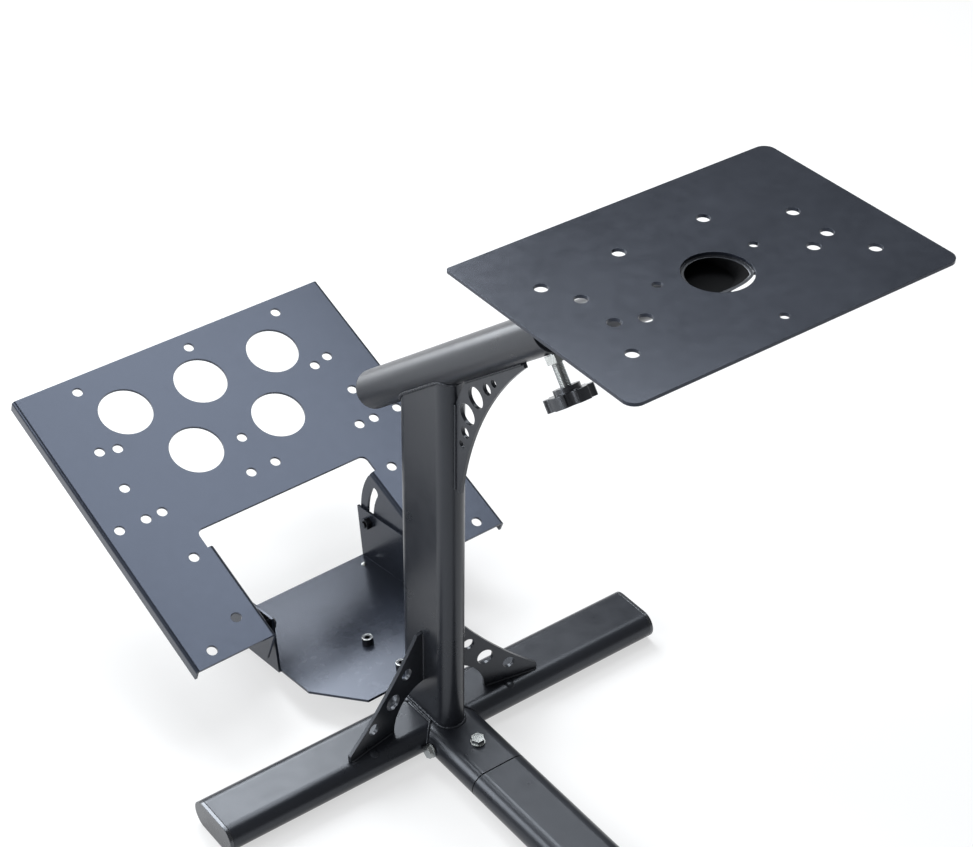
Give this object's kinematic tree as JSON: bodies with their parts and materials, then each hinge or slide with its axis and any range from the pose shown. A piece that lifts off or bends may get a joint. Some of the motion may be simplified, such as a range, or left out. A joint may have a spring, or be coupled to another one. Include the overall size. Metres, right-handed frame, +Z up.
{
  "type": "sim racing wheel and pedal stand",
  "caption": "Black steel front frame of a sim racing cockpit: post on flat oval foot tubes, rising arm with a level drilled wheel plate, sloping pedal plate and seat rail.",
  "frame": {"origin": "on the floor under the middle of the upright post", "axes": "+X along the front foot tube, to the right of a driver on the seat, +Y away from the seat toward the pedals, +Z up"},
  "size_m": [0.5586, 1.2309, 0.778],
  "materials": {
    "coated_steel": "satin black powder coat with a fine grain",
    "black_plastic": "moulded black plastic",
    "zinc": "bright zinc plate",
    "black_zinc": "blackened steel",
    "rubber": "plain black rubber"
  },
  "bodies": {
    "frame": {"front_sleeve": "coated_steel", "seat_rail": "coated_steel", "rail_spigot": "coated_steel", "front_foot_left": "coated_steel", "front_foot_right": "coated_steel", "rear_foot": "coated_steel", "front_cap_left": "black_plastic", "front_cap_right": "black_plastic", "rear_cap_left": "black_plastic", "rear_cap_right": "black_plastic", "post": "coated_steel", "wheel_arm": "coated_steel", "arm_cap": "black_plastic", "clamp_nut": "zinc", "lower_gusset_left": "coated_steel", "lower_gusset_right": "coated_steel", "top_gusset": "coated_steel", "pedal_base": "coated_steel", "base_bracket": "coated_steel", "base_screw_front": "black_zinc", "base_screw_rear": "black_zinc", "base_nut_front": "black_zinc", "base_nut_rear": "black_zinc", "base_pad_left": "rubber", "base_pad_right": "rubber", "sleeve_side_screw": "zinc", "sleeve_top_screw": "zinc", "pivot_bolt_right": "black_zinc", "pivot_bolt_left": "black_zinc", "lock_bolt_right": "black_zinc", "lock_bolt_left": "black_zinc", "pivot_nut_right": "black_zinc", "pivot_nut_left": "black_zinc", "lock_nut_right": "black_zinc", "lock_nut_left": "black_zinc"},
    "wheel_carriage": {"arm_slider": "coated_steel", "tube_socket": "coated_steel", "wheel_plate": "coated_steel"},
    "clamp_screw": {"clamp_stud": "zinc", "clamp_knob": "black_plastic"},
    "pedal_tray": {"pedal_plate": "coated_steel"}
  },
  "joints": [
    {"name": "arm_slide", "type": "slide", "parent": "frame", "child": "wheel_carriage", "axis": [0, -0.7804, 0.6252], "range_m": [-0.12, 0.05]},
    {"name": "knob_turn", "type": "hinge", "parent": "frame", "child": "clamp_screw", "pos_m": [0, -0.19475, 0.57577], "axis": [0, -0.6252, -0.7804], "continuous": true},
    {"name": "pedal_tilt", "type": "hinge", "parent": "frame", "child": "pedal_tray", "pos_m": [0.00018, 0.17795, 0.072], "axis": [0.9997, 0.0243, 0], "range_deg": [-14, 8]}
  ]
}
